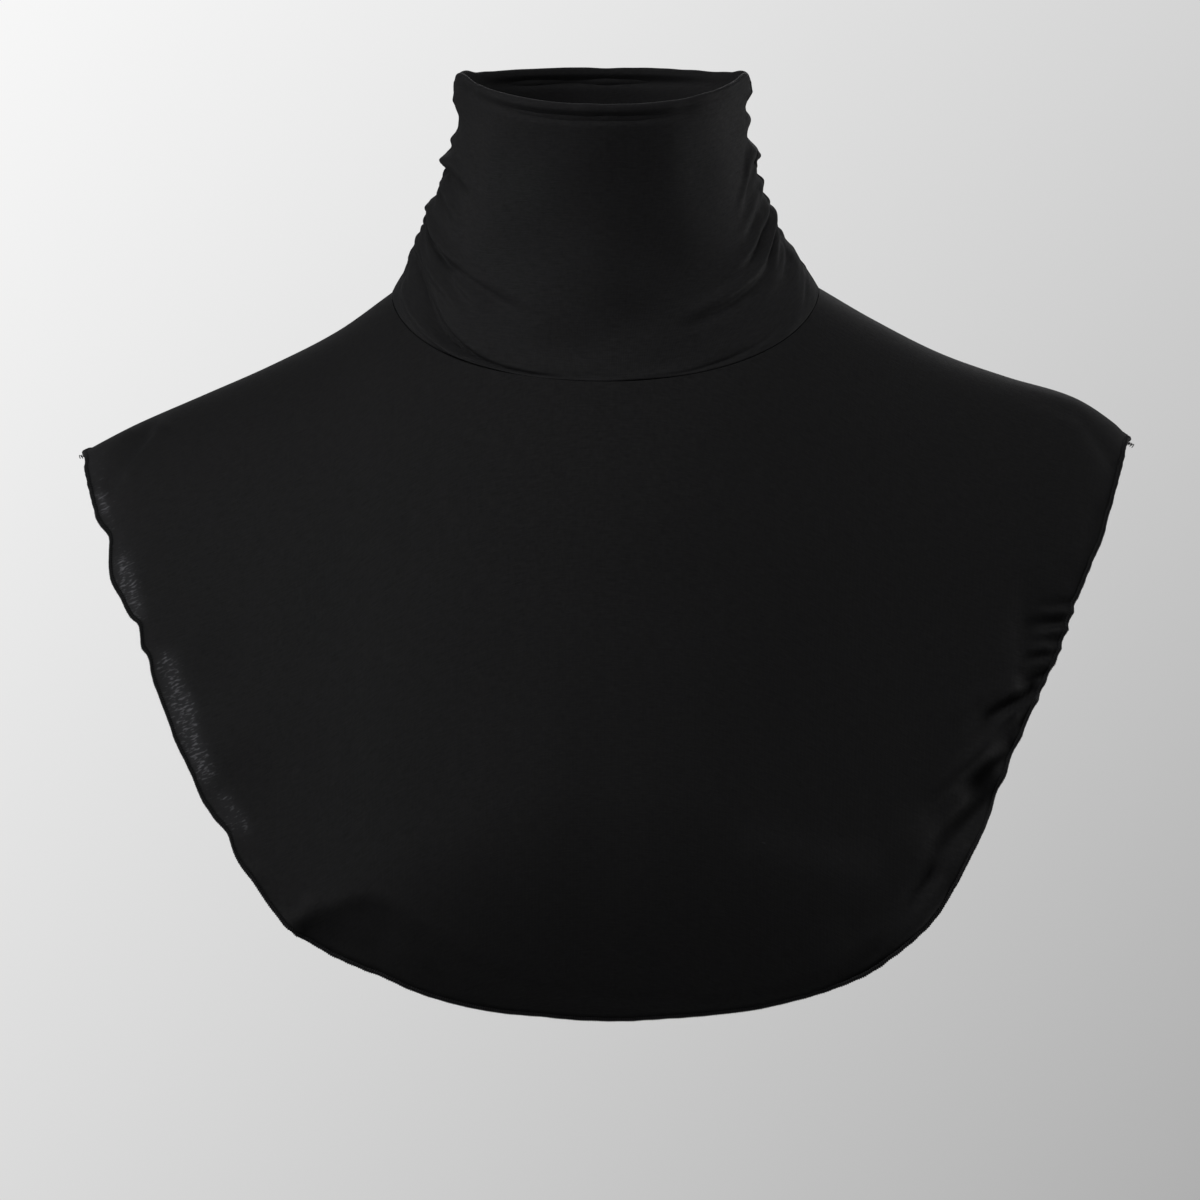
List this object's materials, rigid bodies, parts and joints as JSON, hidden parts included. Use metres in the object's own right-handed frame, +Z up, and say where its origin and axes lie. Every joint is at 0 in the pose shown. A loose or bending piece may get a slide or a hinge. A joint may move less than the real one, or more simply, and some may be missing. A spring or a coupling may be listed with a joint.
{
  "type": "detachable turtleneck collar",
  "caption": "Detachable turtleneck collar: a ruched double-layer stand-up collar on a rounded jersey bib that covers the shoulders and chest.",
  "frame": {"origin": "middle of the neck, level with the inner ends of the shoulder seams", "axes": "+Z up along the neck, -Y towards the wearer's front, +X towards the right of the front view"},
  "size_m": [0.3964, 0.2272, 0.3395],
  "materials": {
    "jersey": "fine black viscose jersey, matte with a soft sheen",
    "thread": "black overlock thread over the rolled edge"
  },
  "bodies": {
    "root": {"collar_front": "jersey", "collar_back": "jersey", "bib_front": "jersey", "bib_back": "jersey", "hem_front": "thread", "hem_back": "thread", "neckline_seam": "thread", "shoulder_seam_left": "thread", "shoulder_seam_right": "thread"}
  },
  "joints": []
}
